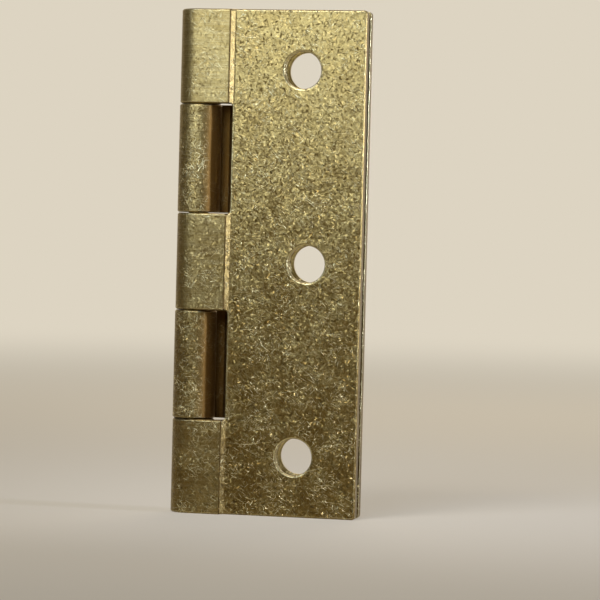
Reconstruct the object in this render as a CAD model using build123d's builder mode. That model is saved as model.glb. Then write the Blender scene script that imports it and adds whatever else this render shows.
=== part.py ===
"""Pressed butt hinge, 75 mm: two leaves of rolled sheet on one pin, in millimetres.

The hinge is closed, with its pin upright. The origin is on the seat face of the three-knuckle leaf,
midway between its two outer screw holes. Both leaves reach from the pin towards +X, and the seat face
of the three-knuckle leaf looks towards -Y.
"""

import os
from math import asin, atan2, cos, isclose, radians, sin, sqrt, tan

from build123d import *

# Leaves: one piece of sheet each
leaf_length = 75.0
open_width = 50.8
sheet_thickness = 1.6
closed_gap = 1.4
corner_radius = 0.5

# Knuckles, rolled from the sheet around the pin
end_knuckle_length = 14.0
middle_knuckle_length = 14.4
knuckle_side_clearance = 0.1
seam_gap = 0.2
notch_clearance = 2.25
notch_corner_radius = 0.4

# Crank: the pressed step from each knuckle down to its leaf
neck_length = 1.75
crank_run = 0.7
crank_radius = 0.3

# Pin: gripped by the three-knuckle leaf, running in the two-knuckle leaf
pin_diameter = 3.0
pin_grip_clearance = 0.01
pin_running_clearance = 0.05
pin_end_recess = 0.2
pin_chamfer = 0.3

# Screw holes: countersunk from the inner face, the middle one nearer the free edge
hole_diameter = 5.5
hole_land = 0.75
hole_mouth_radius = 0.35
countersink_angle = 90.0
hole_end_distance = 8.9
outer_hole_edge_distance = 9.5
middle_hole_edge_distance = 8.25

# Stamped edges, broken all round the outer side of the sheet
edge_bevel = 0.2

# Places that follow from the sizes above
half_length = leaf_length / 2
half_width = open_width / 2
seat_distance = closed_gap / 2 + sheet_thickness
grip_bore_radius = pin_diameter / 2 + pin_grip_clearance
running_bore_radius = pin_diameter / 2 + pin_running_clearance
barrel_radius = running_bore_radius + sheet_thickness
crank_start = barrel_radius + neck_length
notch_reach = barrel_radius + notch_clearance
end_knuckle_start = half_length - end_knuckle_length
middle_knuckle_end = middle_knuckle_length / 2
outer_hole_reach = half_width - outer_hole_edge_distance
middle_hole_reach = half_width - middle_hole_edge_distance
outer_hole_height = half_length - hole_end_distance
countersink_depth = sheet_thickness - hole_land
countersink_radius = hole_diameter / 2 + countersink_depth * tan(radians(countersink_angle / 2))

# Planes with their origin on the pin axis: across the pin, and facing the leaves
across_pin = Plane(origin=(-outer_hole_reach, seat_distance, 0))
along_leaf = Plane(origin=across_pin.origin, x_dir=(1, 0, 0), z_dir=(0, -1, 0))


def leaf_section(bore_radius, side):
    """Section of the sheet: leaf, crank, neck and roll. Side is -1 for a seat face towards -Y."""
    roll_radius = bore_radius + sheet_thickness
    crank_angle = atan2(roll_radius - seat_distance, crank_run)
    inner_crank_start = crank_start - sheet_thickness * tan(crank_angle / 2)
    tip_angle = asin((bore_radius - seam_gap) / roll_radius)

    def around(radius, direction):
        """Point of the roll on a radius, in a direction given as a vector from the pin axis."""
        return (radius * direction[0], side * radius * direction[1])

    tip = (cos(tip_angle), sin(tip_angle))
    far_side = (-sqrt(0.5), -sqrt(0.5))
    root = (0, 1)
    with BuildSketch(across_pin) as section:
        with BuildLine():
            Polyline(
                around(roll_radius, root),
                (crank_start, side * roll_radius),
                (crank_start + crank_run, side * seat_distance),
                (half_width, side * seat_distance),
                (half_width, side * closed_gap / 2),
                (inner_crank_start + crank_run, side * closed_gap / 2),
                (inner_crank_start, side * bore_radius),
                around(bore_radius, root),
            )
            ThreePointArc(around(bore_radius, root), around(bore_radius, far_side), around(bore_radius, tip))
            Line(around(bore_radius, tip), around(roll_radius, tip))
            ThreePointArc(around(roll_radius, tip), around(roll_radius, far_side), around(roll_radius, root))
        make_face()
        crank_end = crank_start + crank_run
        bends = section.vertices().filter_by_position(Axis.X, inner_crank_start, crank_end)
        fillet(bends, crank_radius)
    return section.sketch


def knuckle_gaps(spans):
    """Notches into the rolled edge, one for each span of height, with rounded inner corners."""
    with BuildSketch(along_leaf) as gaps:
        for low, high in spans:
            with Locations((notch_reach, (low + high) / 2)):
                Rectangle(2 * notch_reach, high - low, align=(Align.MAX, Align.CENTER))
        fillet(gaps.vertices().group_by(Axis.X)[-1], notch_corner_radius)
    return gaps.sketch


def drill_screw_holes(inner_face):
    """Three holes, countersunk from the leaf's inner face."""
    with Locations(inner_face):
        with Locations(
            (outer_hole_reach, outer_hole_height),
            (middle_hole_reach, 0),
            (outer_hole_reach, -outer_hole_height),
        ):
            CounterSinkHole(hole_diameter / 2, countersink_radius, counter_sink_angle=countersink_angle)


def circles_of(leaf, radius):
    """The leaf's circular edges of one radius."""
    arcs = leaf.edges().filter_by(GeomType.CIRCLE)
    return arcs.filter_by(lambda edge: isclose(edge.radius, radius, abs_tol=1e-4))


# Leaf with the two end knuckles and the middle one
with BuildPart() as three_knuckle_leaf:
    extrude(leaf_section(grip_bore_radius, -1), amount=half_length, both=True)
    gaps = knuckle_gaps([(middle_knuckle_end, end_knuckle_start), (-end_knuckle_start, -middle_knuckle_end)])
    extrude(gaps, amount=2 * barrel_radius, both=True, mode=Mode.SUBTRACT)
    upright_corners = three_knuckle_leaf.edges().filter_by(Axis.Y).group_by(Axis.Z)
    fillet(upright_corners[0] + upright_corners[-1], corner_radius)
    drill_screw_holes(
        Plane(origin=across_pin.origin - (0, closed_gap / 2, 0), x_dir=(1, 0, 0), z_dir=(0, 1, 0))
    )
    fillet(circles_of(three_knuckle_leaf, hole_diameter / 2).group_by(Axis.Y)[0], hole_mouth_radius)
    chamfer(circles_of(three_knuckle_leaf, grip_bore_radius + sheet_thickness), edge_bevel)
three_knuckle_leaf.part.label = "three_knuckle_leaf"

# Leaf with the two knuckles between them
with BuildPart() as two_knuckle_leaf:
    extrude(leaf_section(running_bore_radius, 1), amount=half_length, both=True)
    gap_end = middle_knuckle_end + knuckle_side_clearance
    gap_start = end_knuckle_start - knuckle_side_clearance
    gaps = knuckle_gaps([(gap_start, leaf_length), (-gap_end, gap_end), (-leaf_length, -gap_start)])
    extrude(gaps, amount=2 * barrel_radius, both=True, mode=Mode.SUBTRACT)
    upright_corners = two_knuckle_leaf.edges().filter_by(Axis.Y).group_by(Axis.Z)
    fillet(upright_corners[0] + upright_corners[-1], corner_radius)
    drill_screw_holes(
        Plane(origin=across_pin.origin + (0, closed_gap / 2, 0), x_dir=(1, 0, 0), z_dir=(0, -1, 0))
    )
    fillet(circles_of(two_knuckle_leaf, hole_diameter / 2).group_by(Axis.Y)[-1], hole_mouth_radius)
    chamfer(circles_of(two_knuckle_leaf, running_bore_radius + sheet_thickness), edge_bevel)
two_knuckle_leaf.part.label = "two_knuckle_leaf"

# Wire pin through all five knuckles
with BuildPart() as hinge_pin:
    with BuildSketch(across_pin):
        Circle(pin_diameter / 2)
    extrude(amount=half_length - pin_end_recess, both=True)
    chamfer(hinge_pin.edges().filter_by(GeomType.CIRCLE), pin_chamfer)
hinge_pin.part.label = "hinge_pin"

os.makedirs("parts", exist_ok=True)
export_step(three_knuckle_leaf.part, "parts/three_knuckle_leaf.step")
export_step(two_knuckle_leaf.part, "parts/two_knuckle_leaf.step")
export_step(hinge_pin.part, "parts/hinge_pin.step")
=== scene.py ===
import math

import bpy
from mathutils import Matrix, Vector


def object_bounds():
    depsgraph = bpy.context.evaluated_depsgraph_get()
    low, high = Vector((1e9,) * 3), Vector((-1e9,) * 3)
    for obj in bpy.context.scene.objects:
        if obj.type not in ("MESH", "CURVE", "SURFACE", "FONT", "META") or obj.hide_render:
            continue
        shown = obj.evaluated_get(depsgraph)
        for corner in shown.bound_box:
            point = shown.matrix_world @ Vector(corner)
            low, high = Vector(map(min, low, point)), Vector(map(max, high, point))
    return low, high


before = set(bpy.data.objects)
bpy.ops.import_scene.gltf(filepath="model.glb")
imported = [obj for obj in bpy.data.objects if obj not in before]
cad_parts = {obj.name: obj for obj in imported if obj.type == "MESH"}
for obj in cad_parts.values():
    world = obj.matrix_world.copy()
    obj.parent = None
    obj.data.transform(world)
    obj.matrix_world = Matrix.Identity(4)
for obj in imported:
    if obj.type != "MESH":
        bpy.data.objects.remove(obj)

cad_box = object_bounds()


# Leaves: two pieces of pressed steel sheet, plated with brass and tumbled in bulk. Each one's knuckles
# are rolled from its own sheet and cranked where they meet the leaf, and its three screw holes are
# punched and countersunk.
MM = 0.001


def linear(hex_colour):
    """Linear colour with alpha of an sRGB hex value."""
    parts = [int(hex_colour[i:i + 2], 16) / 255 for i in (1, 3, 5)]
    return [c / 12.92 if c <= 0.04045 else ((c + 0.055) / 1.055) ** 2.4 for c in parts] + [1.0]


def add(tree, kind, output, inputs=None, **settings):
    """Adds a node, sets or links its inputs, and returns one output, or all of them for None."""
    node = tree.nodes.new("ShaderNode" + kind)
    for name, value in settings.items():
        setattr(node, name, value)
    for name, value in (inputs or {}).items():
        if isinstance(value, bpy.types.NodeSocket):
            tree.links.new(value, node.inputs[name])
        else:
            node.inputs[name].default_value = value
    return node.outputs if output is None else node.outputs[output]


def material(name):
    """New material with its tree and its shader."""
    made = bpy.data.materials.new(name)
    made.use_nodes = True
    return made, made.node_tree, made.node_tree.nodes["Principled BSDF"]


# Tumbled brass plate: a dull, warm yellow metal. Loose parts knocking together in the barrel leave it
# grained with dents that hold tarnish, and with short scratches that run every way, painted as glints.
brass_plain = "#9E864C"
brass_tarnished = "#523F1A"
brass_brown = "#6F5626"
# Pale brass for the bright marks, which also serves as painted highlight on them
bright_brass_and_highlight = "#E6D69C"
# Colours of the necks: the sheltered one is partly painted shade, the deep one wholly painted shade
sheltered_brass_and_shade = "#8A6732"
deep_shade_brass = "#604218"
brass_crease = "#5E4A26"

# A Mix node's sockets go by number, because its names repeat: first those it takes, then those it gives
FACTOR, VALUE_A, VALUE_B, COLOUR_A, COLOUR_B = 0, 2, 3, 6, 7
VALUE, COLOUR = 0, 2

tumbled_brass, tree, shader = material("tumbled_brass_plate")
coordinates = add(tree, "TexCoord", None)
millimetres = add(tree, "Mapping", "Vector", {
    "Vector": coordinates["Object"], "Scale": (1 / MM, 1 / MM, 1 / MM)})
axes = add(tree, "SeparateXYZ", None, {"Vector": millimetres})

# Knuckles: the rolling has rubbed them smoother than the leaf, most of all those of the three-knuckle
# leaf, while the pair between them keeps nearly all its grain
knuckle_end_x_mm, knuckle_fade_mm = -11.0, 1.4
middle_knuckle_mm, end_knuckle_mm = 7.3, 23.4
rubbed_grain, pair_grain = 0.5, 0.95
on_knuckle = add(tree, "MapRange", "Result", {
    "Value": axes["X"], "From Min": knuckle_end_x_mm + knuckle_fade_mm, "From Max": knuckle_end_x_mm})
height = add(tree, "Math", 0, {0: axes["Z"]}, operation="ABSOLUTE")
below_end = add(tree, "Math", 0, {0: height, 1: end_knuckle_mm}, operation="LESS_THAN")
above_middle = add(tree, "Math", 0, {0: height, 1: middle_knuckle_mm}, operation="GREATER_THAN")
on_pair = add(tree, "Math", 0, {0: below_end, 1: above_middle}, operation="MULTIPLY")
knuckle_grain = add(tree, "MapRange", "Result", {
    "Value": on_pair, "To Min": rubbed_grain, "To Max": pair_grain})
grain_left = add(tree, "Mix", VALUE, {
    FACTOR: on_knuckle, VALUE_A: 1.0, VALUE_B: knuckle_grain}, data_type="FLOAT")

# Sheltered sides: nothing rubs the inside of the neck between a knuckle and its leaf, so the brass stays
# smooth there. Its colour there is painted browner and darker, partly for dull plating and partly as
# painted shade in the notches
pin_x_mm, pin_y_mm, sheltered_grain = -15.9, 2.3, 0.15
shelter_start_mm, shelter_full_mm = 3.0, 2.3
from_middle = add(tree, "Math", 0, {0: axes["Y"], 1: pin_y_mm}, operation="SUBTRACT")
from_middle = add(tree, "Math", 0, {0: from_middle}, operation="ABSOLUTE")
inside = add(tree, "MapRange", "Result", {
    "Value": from_middle, "From Min": shelter_start_mm, "From Max": shelter_full_mm})
beside_pin = add(tree, "MapRange", "Result", {
    "Value": axes["X"], "From Min": pin_x_mm, "From Max": pin_x_mm + 1.0})
before_leaf = add(tree, "MapRange", "Result", {
    "Value": axes["X"], "From Min": knuckle_end_x_mm - 0.1, "From Max": knuckle_end_x_mm - 0.6})
sheltered_and_shaded = add(tree, "Math", 0, {0: inside, 1: beside_pin}, operation="MULTIPLY")
sheltered_and_shaded = add(tree, "Math", 0, {0: sheltered_and_shaded, 1: before_leaf}, operation="MULTIPLY")
grain_left = add(tree, "Mix", VALUE, {
    FACTOR: sheltered_and_shaded, VALUE_A: grain_left, VALUE_B: sheltered_grain}, data_type="FLOAT")

# Deep corners: painted shade makes the neck itself, between the barrel and the crank, the darkest of all
barrel_side_x_mm, deep_fade_mm = -13.1, 0.6
past_barrel = add(tree, "MapRange", "Result", {
    "Value": axes["X"], "From Min": barrel_side_x_mm, "From Max": barrel_side_x_mm + deep_fade_mm})
deep_painted_shade = add(tree, "Math", 0, {0: sheltered_and_shaded, 1: past_barrel}, operation="MULTIPLY")

# Sheared rims: cut through by the press, so they show fine lines across the sheet in place of knocks.
# The lines are drawn coarser than real ones, which would be too fine to show
rim_x_mm, rim_z_mm, rim_depth_mm, rim_grain = 9.5, 37.5, 0.2, 0.25
shear_length_mm, shear_width_mm = 3.0, 0.16
at_free_edge = add(tree, "MapRange", "Result", {
    "Value": axes["X"], "From Min": rim_x_mm - rim_depth_mm, "From Max": rim_x_mm})
at_ends = add(tree, "MapRange", "Result", {
    "Value": height, "From Min": rim_z_mm - rim_depth_mm, "From Max": rim_z_mm})
sheared = add(tree, "Math", 0, {0: at_free_edge, 1: at_ends}, operation="MAXIMUM")
grain_left = add(tree, "Mix", VALUE, {
    FACTOR: sheared, VALUE_A: grain_left, VALUE_B: rim_grain}, data_type="FLOAT")
drawn_down = add(tree, "Mapping", "Vector", {
    "Vector": millimetres, "Scale": (1 / shear_width_mm, 1 / shear_length_mm, 1 / shear_width_mm)})
shear_lines = add(tree, "TexNoise", "Fac", {"Vector": drawn_down, "Scale": 1.0, "Detail": 2.0})
shear_lines = add(tree, "MapRange", "Result", {"Value": shear_lines, "From Min": 0.35, "From Max": 0.65})
shear_lines = add(tree, "Math", 0, {0: shear_lines, 1: sheared}, operation="MULTIPLY")

# Wear: the lower half of this hinge is knocked about more than its upper half, and browner in patches
top_mm, bottom_mm, least_wear, most_wear = 30.0, -30.0, 0.65, 1.55
wear = add(tree, "MapRange", "Result", {
    "Value": axes["Z"], "From Min": top_mm, "From Max": bottom_mm,
    "To Min": least_wear, "To Max": most_wear})
grain_left = add(tree, "Math", 0, {0: grain_left, 1: wear}, operation="MULTIPLY")

# Screw holes: cut to shape, and the rings of the cutter on whatever slopes near them are painted bright,
# as painted glints. The rings are drawn coarser than real ones, which would be too fine to show
hole_centres_mm = ((0.0, 28.6), (1.25, 0.0), (0.0, -28.6))
hole_reach_mm, ring_mm, faintest_ring = 3.75, 0.22, 0.4
still_flat, fully_sloping = 0.97, 0.88
on_face = add(tree, "CombineXYZ", "Vector", {"X": axes["X"], "Z": axes["Z"]})
from_hole = None
for across, up in hole_centres_mm:
    reach = add(tree, "VectorMath", "Value", {0: on_face, 1: (across, 0, up)}, operation="DISTANCE")
    if from_hole is None:
        from_hole = reach
    else:
        from_hole = add(tree, "Math", 0, {0: from_hole, 1: reach}, operation="MINIMUM")
facing = add(tree, "SeparateXYZ", "Y", {"Vector": coordinates["Normal"]})
facing = add(tree, "Math", 0, {0: facing}, operation="ABSOLUTE")
sloping = add(tree, "MapRange", "Result", {
    "Value": facing, "From Min": still_flat, "From Max": fully_sloping})
near_hole = add(tree, "Math", 0, {0: from_hole, 1: hole_reach_mm}, operation="LESS_THAN")
cut = add(tree, "Math", 0, {0: sloping, 1: near_hole}, operation="MULTIPLY")
cutter_rings_and_glints = add(tree, "TexNoise", "Fac", {
    "W": from_hole, "Scale": 1 / ring_mm, "Detail": 1.0}, noise_dimensions="1D")
cutter_rings_and_glints = add(tree, "MapRange", "Result", {
    "Value": cutter_rings_and_glints, "From Min": 0.35, "From Max": 0.6, "To Min": faintest_ring})
cutter_rings_and_glints = add(tree, "Math", 0, {0: cutter_rings_and_glints, 1: cut}, operation="MULTIPLY")

# Dents: a grain of half a millimetre with rounder pits in it, on lighter and darker cells
grain_mm, pit_mm, cell_mm = 0.5, 0.8, 1.2
grain = add(tree, "TexNoise", "Fac", {
    "Vector": millimetres, "Scale": 1 / grain_mm, "Detail": 4.0, "Roughness": 0.65})
grain = add(tree, "MapRange", "Result", {"Value": grain, "From Min": 0.36, "From Max": 0.66})
pits = add(tree, "TexVoronoi", "Distance", {"Vector": millimetres, "Scale": 1 / pit_mm})
pits = add(tree, "MapRange", "Result", {"Value": pits, "From Min": 0.06, "From Max": 0.4})
dents = add(tree, "Math", 0, {0: grain, 1: pits}, operation="MULTIPLY")
cells = add(tree, "TexNoise", "Fac", {"Vector": millimetres, "Scale": 1 / cell_mm, "Detail": 1.0})
cells = add(tree, "MapRange", "Result", {"Value": cells, "From Min": 0.35, "From Max": 0.65})

# Facets: every knock leaves a tiny narrow flat that leans its own way. Most lean little, and the few
# steep ones glint
facet_length_mm, facet_width_mm = 0.42, 0.16
usual_lean, steep_lean, steep_from = 0.035, 0.37, 0.86
lean = knocks = None
for angle in (10, 55, 100, 145):
    turned = add(tree, "Mapping", "Vector", {
        "Vector": millimetres, "Rotation": (0, math.radians(angle), 0)})
    stretched = add(tree, "Mapping", "Vector", {
        "Vector": turned, "Location": (angle, 0, angle),
        "Scale": (1 / facet_length_mm, 1 / facet_width_mm, 1 / facet_width_mm)})
    facets = add(tree, "TexVoronoi", "Color", {"Vector": stretched, "Scale": 1.0})
    tilt = add(tree, "VectorMath", "Vector", {
        0: facets, 1: (2, 2, 2), 2: (-1, -1, -1)}, operation="MULTIPLY_ADD")
    chance = add(tree, "SeparateColor", None, {"Color": facets})
    knock = add(tree, "MapRange", "Result", {
        "Value": chance["Green"], "From Min": steep_from, "To Min": usual_lean, "To Max": steep_lean})
    tilt = add(tree, "VectorMath", "Vector", {0: tilt, "Scale": knock}, operation="SCALE")
    if lean is None:
        lean, knocks = tilt, chance["Red"]
    else:
        lean = add(tree, "VectorMath", "Vector", {0: lean, 1: tilt}, operation="ADD")
        knocks = add(tree, "Math", 0, {0: knocks, 1: chance["Red"]}, operation="ADD")

# Scratches: short strokes in five directions, each a millimetre or two long, and a few long curved ones.
# They gather in scuffed places
bend_mm, bend_reach_mm, curved_from_mm = 7.0, 3.0, 3.0
stroke_fade, scuffed_mm, least_scuffed = 0.09, 3.5, 0.2
bend = add(tree, "TexNoise", "Color", {"Vector": millimetres, "Scale": 1 / bend_mm, "Detail": 0.0})
bent = add(tree, "VectorMath", "Vector", {
    0: bend, 1: (bend_reach_mm, bend_reach_mm, bend_reach_mm), 2: millimetres}, operation="MULTIPLY_ADD")
scratches = None
for angle, length_mm, width_mm, rarity in (
        (-28, 1.6, 0.15, 0.65), (9, 1.2, 0.14, 0.65), (47, 1.4, 0.15, 0.65), (83, 1.1, 0.14, 0.65),
        (128, 1.3, 0.15, 0.65), (4, 9.0, 0.13, 0.71), (-34, 7.0, 0.12, 0.71)):
    turned = add(tree, "Mapping", "Vector", {
        "Vector": bent if length_mm > curved_from_mm else millimetres,
        "Rotation": (0, math.radians(angle), 0)})
    stretched = add(tree, "Mapping", "Vector", {
        "Vector": turned, "Location": (angle, 0, angle),
        "Scale": (1 / length_mm, 1 / length_mm, 1 / width_mm)})
    strokes = add(tree, "TexNoise", "Fac", {"Vector": stretched, "Scale": 1.0, "Detail": 1.0})
    strokes = add(tree, "MapRange", "Result", {
        "Value": strokes, "From Min": rarity, "From Max": rarity + stroke_fade})
    if scratches is None:
        scratches = strokes
    else:
        scratches = add(tree, "Math", 0, {0: scratches, 1: strokes}, operation="MAXIMUM")
scuffed = add(tree, "TexNoise", "Fac", {"Vector": millimetres, "Scale": 1 / scuffed_mm, "Detail": 2.0})
scuffed = add(tree, "MapRange", "Result", {
    "Value": scuffed, "From Min": 0.42, "From Max": 0.62, "To Min": least_scuffed})
scratches = add(tree, "Math", 0, {0: scratches, 1: scuffed}, operation="MULTIPLY")
scratches = add(tree, "Math", 0, {0: scratches, 1: grain_left}, operation="MULTIPLY")

# Rub lines round the open sides of the knuckles, about as long as a knuckle is wide, and drawn coarser
# than real ones
rub_length_mm, rub_width_mm = 5.0, 0.17
rubbed = add(tree, "Mapping", "Vector", {
    "Vector": millimetres, "Scale": (1 / rub_length_mm, 1 / rub_length_mm, 1 / rub_width_mm)})
rub_lines = add(tree, "TexNoise", "Fac", {
    "Vector": rubbed, "Scale": 1.0, "Detail": 2.0, "Roughness": 0.6})
rub_lines = add(tree, "MapRange", "Result", {"Value": rub_lines, "From Min": 0.42, "From Max": 0.7})
rub_lines = add(tree, "Math", 0, {0: rub_lines, 1: on_knuckle}, operation="MULTIPLY")
open_side = add(tree, "Math", 0, {0: 1.0, 1: sheltered_and_shaded}, operation="SUBTRACT")
rub_lines = add(tree, "Math", 0, {0: rub_lines, 1: open_side}, operation="MULTIPLY")

# Patches of thicker and thinner tarnish, a few millimetres across
patch_mm, thickest_patch = 5.0, 0.5
patches = add(tree, "TexNoise", "Fac", {"Vector": millimetres, "Scale": 1 / patch_mm, "Detail": 3.0})
patches = add(tree, "MapRange", "Result", {
    "Value": patches, "From Min": 0.4, "From Max": 0.65, "To Max": thickest_patch})
patches = add(tree, "Math", 0, {0: patches, 1: wear}, operation="MULTIPLY")

# Worn edges: every corner of the sheet is painted bright, partly rubbed plating and partly painted
# highlight
worn_edge_mm = 0.16
rounded = add(tree, "Bevel", "Normal", {"Radius": worn_edge_mm * MM}, samples=6)
true_normal = add(tree, "NewGeometry", "Normal")
likeness = add(tree, "VectorMath", "Value", {0: rounded, 1: true_normal}, operation="DOT_PRODUCT")
worn_and_highlit_edges = add(tree, "MapRange", "Result", {"Value": likeness, "From Min": 0.99, "From Max": 0.9})

# Crease: a thin dark line painted where the crank begins, which wanders a little
crease_x_mm, crease_width_mm = knuckle_end_x_mm + 0.05, 0.12
wander_length_mm, wander_mm = 1.25, 0.12
wander = add(tree, "TexNoise", "Fac", {
    "Vector": millimetres, "Scale": 1 / wander_length_mm, "Detail": 3.0})
wander = add(tree, "MapRange", "Result", {"Value": wander, "To Min": -wander_mm, "To Max": wander_mm})
from_crease = add(tree, "Math", 0, {0: axes["X"], 1: crease_x_mm}, operation="SUBTRACT")
from_crease = add(tree, "Math", 0, {0: from_crease, 1: wander}, operation="ADD")
from_crease = add(tree, "Math", 0, {0: from_crease}, operation="ABSOLUTE")
crease = add(tree, "MapRange", "Result", {
    "Value": from_crease, "From Min": crease_width_mm, "From Max": crease_width_mm * 0.4})

# Colour: plain brass on what stands proud and tarnish in the dents, less so where the grain is rubbed
# off, then the browner places, the painted shade of the necks, the bright marks with their painted
# highlights and the crease
cell_weight, dent_weight, knock_weight, tone_start, rubbed_tone = 0.24, 0.38, 0.21, -0.07, 0.65
rub_brightness = 0.12
tone = add(tree, "Math", 0, {0: cells, 1: cell_weight, 2: tone_start}, operation="MULTIPLY_ADD")
tone = add(tree, "Math", 0, {0: dents, 1: dent_weight, 2: tone}, operation="MULTIPLY_ADD")
tone = add(tree, "Math", 0, {0: knocks, 1: knock_weight, 2: tone}, operation="MULTIPLY_ADD")
tone = add(tree, "Mix", VALUE, {
    FACTOR: grain_left, VALUE_A: rubbed_tone, VALUE_B: tone}, data_type="FLOAT")
colour = add(tree, "Mix", COLOUR, {
    FACTOR: tone, COLOUR_A: linear(brass_tarnished), COLOUR_B: linear(brass_plain)}, data_type="RGBA")
colour = add(tree, "Mix", COLOUR, {
    FACTOR: patches, COLOUR_A: colour, COLOUR_B: linear(brass_brown)}, data_type="RGBA")
# Painted shade: the sheltered necks turn browner and darker, partly for dull plating and partly as shade
colour = add(tree, "Mix", COLOUR, {
    FACTOR: sheltered_and_shaded, COLOUR_A: colour, COLOUR_B: linear(sheltered_brass_and_shade)}, data_type="RGBA")
# Painted shade: the deep corners of the necks turn darker still
colour = add(tree, "Mix", COLOUR, {
    FACTOR: deep_painted_shade, COLOUR_A: colour, COLOUR_B: linear(deep_shade_brass)}, data_type="RGBA")
# Painted highlights: scratches, worn edges, cutter rings and rub lines are mixed towards pale brass
marks_and_highlights = add(tree, "Math", 0, {0: scratches, 1: worn_and_highlit_edges}, operation="MAXIMUM")
marks_and_highlights = add(tree, "Math", 0, {0: marks_and_highlights, 1: cutter_rings_and_glints}, operation="MAXIMUM")
rub_bright = add(tree, "Math", 0, {0: rub_lines, 1: rub_brightness}, operation="MULTIPLY")
marks_and_highlights = add(tree, "Math", 0, {0: marks_and_highlights, 1: rub_bright}, operation="MAXIMUM")
colour = add(tree, "Mix", COLOUR, {
    FACTOR: marks_and_highlights, COLOUR_A: colour, COLOUR_B: linear(bright_brass_and_highlight)}, data_type="RGBA")
colour = add(tree, "Mix", COLOUR, {
    FACTOR: crease, COLOUR_A: colour, COLOUR_B: linear(brass_crease)}, data_type="RGBA")
tree.links.new(colour, shader.inputs["Base Color"])
shader.inputs["Metallic"].default_value = 1.0

leaf_roughness, knuckle_roughness, sheltered_roughness = 0.36, 0.44, 0.6
roughness = add(tree, "MapRange", "Result", {
    "Value": on_knuckle, "To Min": leaf_roughness, "To Max": knuckle_roughness})
roughness = add(tree, "Mix", VALUE, {
    FACTOR: sheltered_and_shaded, VALUE_A: roughness, VALUE_B: sheltered_roughness}, data_type="FLOAT")
tree.links.new(roughness, shader.inputs["Roughness"])

# Relief: all those marks have a depth, and the facets' own lean comes on top of it
dent_depth_mm, scratch_height_mm, rub_depth_mm, shear_depth_mm = 0.012, 0.04, 0.002, 0.006
relief = add(tree, "Math", 0, {0: dents, 1: dent_depth_mm}, operation="MULTIPLY")
relief = add(tree, "Math", 0, {0: relief, 1: grain_left}, operation="MULTIPLY")
relief = add(tree, "Math", 0, {0: scratches, 1: scratch_height_mm, 2: relief}, operation="MULTIPLY_ADD")
relief = add(tree, "Math", 0, {0: rub_lines, 1: rub_depth_mm, 2: relief}, operation="MULTIPLY_ADD")
relief = add(tree, "Math", 0, {0: shear_lines, 1: shear_depth_mm, 2: relief}, operation="MULTIPLY_ADD")
bumped = add(tree, "Bump", "Normal", {
    "Height": relief, "Strength": 1.0, "Distance": MM, "Normal": rounded})
lean = add(tree, "VectorMath", "Vector", {0: lean, "Scale": grain_left}, operation="SCALE")
faceted = add(tree, "VectorMath", "Vector", {0: bumped, 1: lean}, operation="ADD")
faceted = add(tree, "VectorMath", "Vector", {0: faceted}, operation="NORMALIZE")
tree.links.new(faceted, shader.inputs["Normal"])

for name in ("three_knuckle_leaf", "two_knuckle_leaf"):
    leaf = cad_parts[name]
    leaf.data.materials.clear()
    leaf.data.materials.append(tumbled_brass)


# Pin: one straight length of brass-plated wire, cut off square and pressed into the three knuckles
# of one leaf, so that only its two ends show.
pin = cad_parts["hinge_pin"]

# Drawn brass wire: a smoother yellow metal than the sheet, with the lines of the drawing die along it.
# The lines are drawn coarser than real ones, which would be too fine to show
die_line_length_mm, die_line_width_mm, die_line_depth_mm = 8.0, 0.12, 0.004
groove_roughness, ridge_roughness = 0.42, 0.3
drawn_brass, tree, shader = material("drawn_brass_wire")
place = add(tree, "TexCoord", "Object")
drawn_out = add(tree, "Mapping", "Vector", {"Vector": place, "Scale": (
    1 / (die_line_width_mm * MM), 1 / (die_line_width_mm * MM), 1 / (die_line_length_mm * MM))})
die_lines = add(tree, "TexNoise", "Fac", {"Vector": drawn_out, "Scale": 1.0, "Detail": 2.0})
die_lines = add(tree, "MapRange", "Result", {"Value": die_lines, "From Min": 0.35, "From Max": 0.65})
colour = add(tree, "Mix", COLOUR, {
    FACTOR: die_lines, COLOUR_A: linear(brass_brown), COLOUR_B: linear(brass_plain)}, data_type="RGBA")
tree.links.new(colour, shader.inputs["Base Color"])
shader.inputs["Metallic"].default_value = 1.0
roughness = add(tree, "MapRange", "Result", {
    "Value": die_lines, "To Min": groove_roughness, "To Max": ridge_roughness})
tree.links.new(roughness, shader.inputs["Roughness"])
relief = add(tree, "Math", 0, {0: die_lines, 1: die_line_depth_mm}, operation="MULTIPLY")
bumped = add(tree, "Bump", "Normal", {"Height": relief, "Strength": 1.0, "Distance": MM})
tree.links.new(bumped, shader.inputs["Normal"])
pin.data.materials.clear()
pin.data.materials.append(drawn_brass)


# Floor: a wide plain sheet of pale paper that the closed hinge stands on. It gets paler with distance
# until it runs into the room behind, and it keeps the hinge's shadow.
floor_height, floor_half_size = cad_box[0].z, 4.0
floor_mesh = bpy.data.meshes.new("floor")
corners = [(x * floor_half_size, y * floor_half_size, floor_height)
           for x, y in ((-1, -1), (1, -1), (1, 1), (-1, 1))]
floor_mesh.from_pydata(corners, [], [(0, 1, 2, 3)])
floor = bpy.data.objects.new("floor", floor_mesh)
bpy.context.scene.collection.objects.link(floor)

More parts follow.
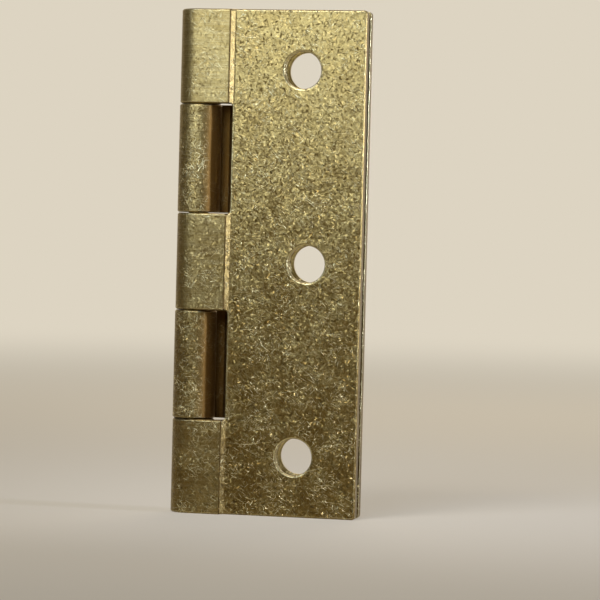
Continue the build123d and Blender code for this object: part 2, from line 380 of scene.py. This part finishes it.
# Matt paper: a plain surface with no gloss
paper_colour, room_pale = linear("#C8BEAA"), linear("#DDD4C2")
near, far, near_lift, far_lift = 0.05, 0.8, 0.42, 1.0
front, back, front_lift = -0.2, 0.1, 0.34
paper, tree, shader = material("matt_paper")
shader.inputs["Base Color"].default_value = paper_colour
shader.inputs["Roughness"].default_value = 0.9
paths = add(tree, "LightPath", None)
seen_directly = add(tree, "Math", 0, {
    0: paths["Is Camera Ray"], 1: paths["Is Glossy Ray"]}, operation="MAXIMUM")
seen_directly = add(tree, "Math", 0, {
    0: seen_directly, 1: paths["Is Transmission Ray"]}, operation="MAXIMUM")
spot = add(tree, "TexCoord", "Object")
reach = add(tree, "VectorMath", "Value", {0: spot}, operation="LENGTH")
lift = add(tree, "MapRange", "Result", {
    "Value": reach, "From Min": near, "From Max": far, "To Min": near_lift, "To Max": far_lift},
    interpolation_type="SMOOTHERSTEP")
depth = add(tree, "SeparateXYZ", "Y", {"Vector": spot})
from_front = add(tree, "MapRange", "Result", {
    "Value": depth, "From Min": front, "From Max": back, "To Min": front_lift})
lift = add(tree, "Math", 0, {0: lift, 1: from_front}, operation="MINIMUM")
lifted = add(tree, "Math", 0, {0: seen_directly, 1: lift}, operation="MULTIPLY")
glow = add(tree, "Emission", "Emission", {"Color": room_pale, "Strength": 1.0})
sheet = add(tree, "MixShader", "Shader", {"Fac": lifted, 1: shader.outputs["BSDF"], 2: glow})
tree.links.new(sheet, tree.nodes["Material Output"].inputs["Surface"])
floor_mesh.materials.append(paper)


# Light: a soft box close above the front of the hinge, so that the light falls off downwards, and a
# small one that the facets catch. Weak ones come from the free-edge side and from the ceiling, and one
# behind lights the floor there.
def soft_box(name, colour, at_mm, towards_mm, size_mm, power, spread):
    """Square soft light at a place, aimed at another, in millimetres, watts and degrees."""
    lamp = bpy.data.lights.new(name, "AREA")
    lamp.energy = power
    lamp.color = linear(colour)[:3]
    lamp.size = size_mm * MM
    lamp.spread = math.radians(spread)
    box = bpy.data.objects.new(name, lamp)
    box.location = Vector(at_mm) * MM
    box.rotation_euler = (Vector(at_mm) - Vector(towards_mm)).to_track_quat("Z", "Y").to_euler()
    box.visible_camera = False
    bpy.context.scene.collection.objects.link(box)


soft_box("top_light", "#C4D8FF", (-30, -85, 77), (-4, 0, 37), 104, 0.065, 72)
soft_box("glint_light", "#FFF6E8", (-20, -52, 112), (0, 0, -10), 24, 0.0145, 90)
soft_box("side_light", "#CBD8FF", (250, -8, 42), (-10, 0, 12), 20, 0.1, 80)
soft_box("ceiling_light", "#FFF4E4", (15, -20, 240), (0, 0, 0), 120, 0.022, 120)
soft_box("back_light", "#FFF4E4", (0, 280, 260), (0, 230, -37), 200, 0.3, 120)

# Room: dim in front, darker on the knuckles' side, with a window on the free-edge side. It is pale to
# the camera, and pale in the metal's reflections of what is behind the hinge
room_dim, room_dark, room_window = linear("#2B1E0B"), linear("#1C1814"), linear("#6C685E")
world = bpy.data.worlds.new("room")
bpy.context.scene.world = world
world.use_nodes = True
tree = world.node_tree
directions = add(tree, "SeparateXYZ", None, {"Vector": add(tree, "TexCoord", "Generated")})
behind = add(tree, "MapRange", "Result", {"Value": directions["Y"], "From Min": 0.3, "From Max": 0.6})
paths = add(tree, "LightPath", None)
mirrored = add(tree, "Math", 0, {
    0: paths["Is Glossy Ray"], 1: paths["Is Transmission Ray"]}, operation="MAXIMUM")
mirrored = add(tree, "Math", 0, {0: mirrored, 1: behind}, operation="MULTIPLY")
shows_pale = add(tree, "Math", 0, {0: mirrored, 1: paths["Is Camera Ray"]}, operation="MAXIMUM")
aside = add(tree, "MapRange", "Result", {"Value": directions["X"], "From Min": -0.5, "From Max": -0.8})
room = add(tree, "Mix", COLOUR, {
    FACTOR: aside, COLOUR_A: room_dim, COLOUR_B: room_dark}, data_type="RGBA")
to_window = add(tree, "MapRange", "Result", {"Value": directions["X"], "From Min": 0.5, "From Max": 0.9})
room = add(tree, "Mix", COLOUR, {
    FACTOR: to_window, COLOUR_A: room, COLOUR_B: room_window}, data_type="RGBA")
room = add(tree, "Mix", COLOUR, {
    FACTOR: shows_pale, COLOUR_A: room, COLOUR_B: room_pale}, data_type="RGBA")
tree.links.new(room, tree.nodes["Background"].inputs["Color"])


# Camera: nearly level with the hinge, a little to the free-edge side, with a long lens and a slight
# roll. Angles are in degrees, and the lens is given in pixels of the square image.
azimuth, elevation, roll = 12.6, 1.5, 1.46
distance_mm, focal_px, image_px, sensor_mm = 450.0, 3031.7, 600.0, 36.0
aim_mm = Vector((-0.035, 2.3, -5.34))
a, e, r = (math.radians(angle) for angle in (azimuth, elevation, roll))
backwards = Vector((math.sin(a) * math.cos(e), -math.cos(a) * math.cos(e), math.sin(e)))
level = Vector((0, 0, 1)).cross(backwards).normalized()
upright = backwards.cross(level)
right = level * math.cos(r) + upright * math.sin(r)
up = upright * math.cos(r) - level * math.sin(r)
lens = bpy.data.cameras.new("camera")
lens.sensor_width = sensor_mm
lens.lens = focal_px / image_px * sensor_mm
lens.clip_start = 0.01
camera = bpy.data.objects.new("camera", lens)
stand = Matrix.Translation((aim_mm + backwards * distance_mm) * MM)
camera.matrix_world = stand @ Matrix((right, up, backwards)).transposed().to_4x4()
bpy.context.scene.collection.objects.link(camera)
bpy.context.scene.camera = camera
bpy.context.scene.view_settings.view_transform = "Standard"
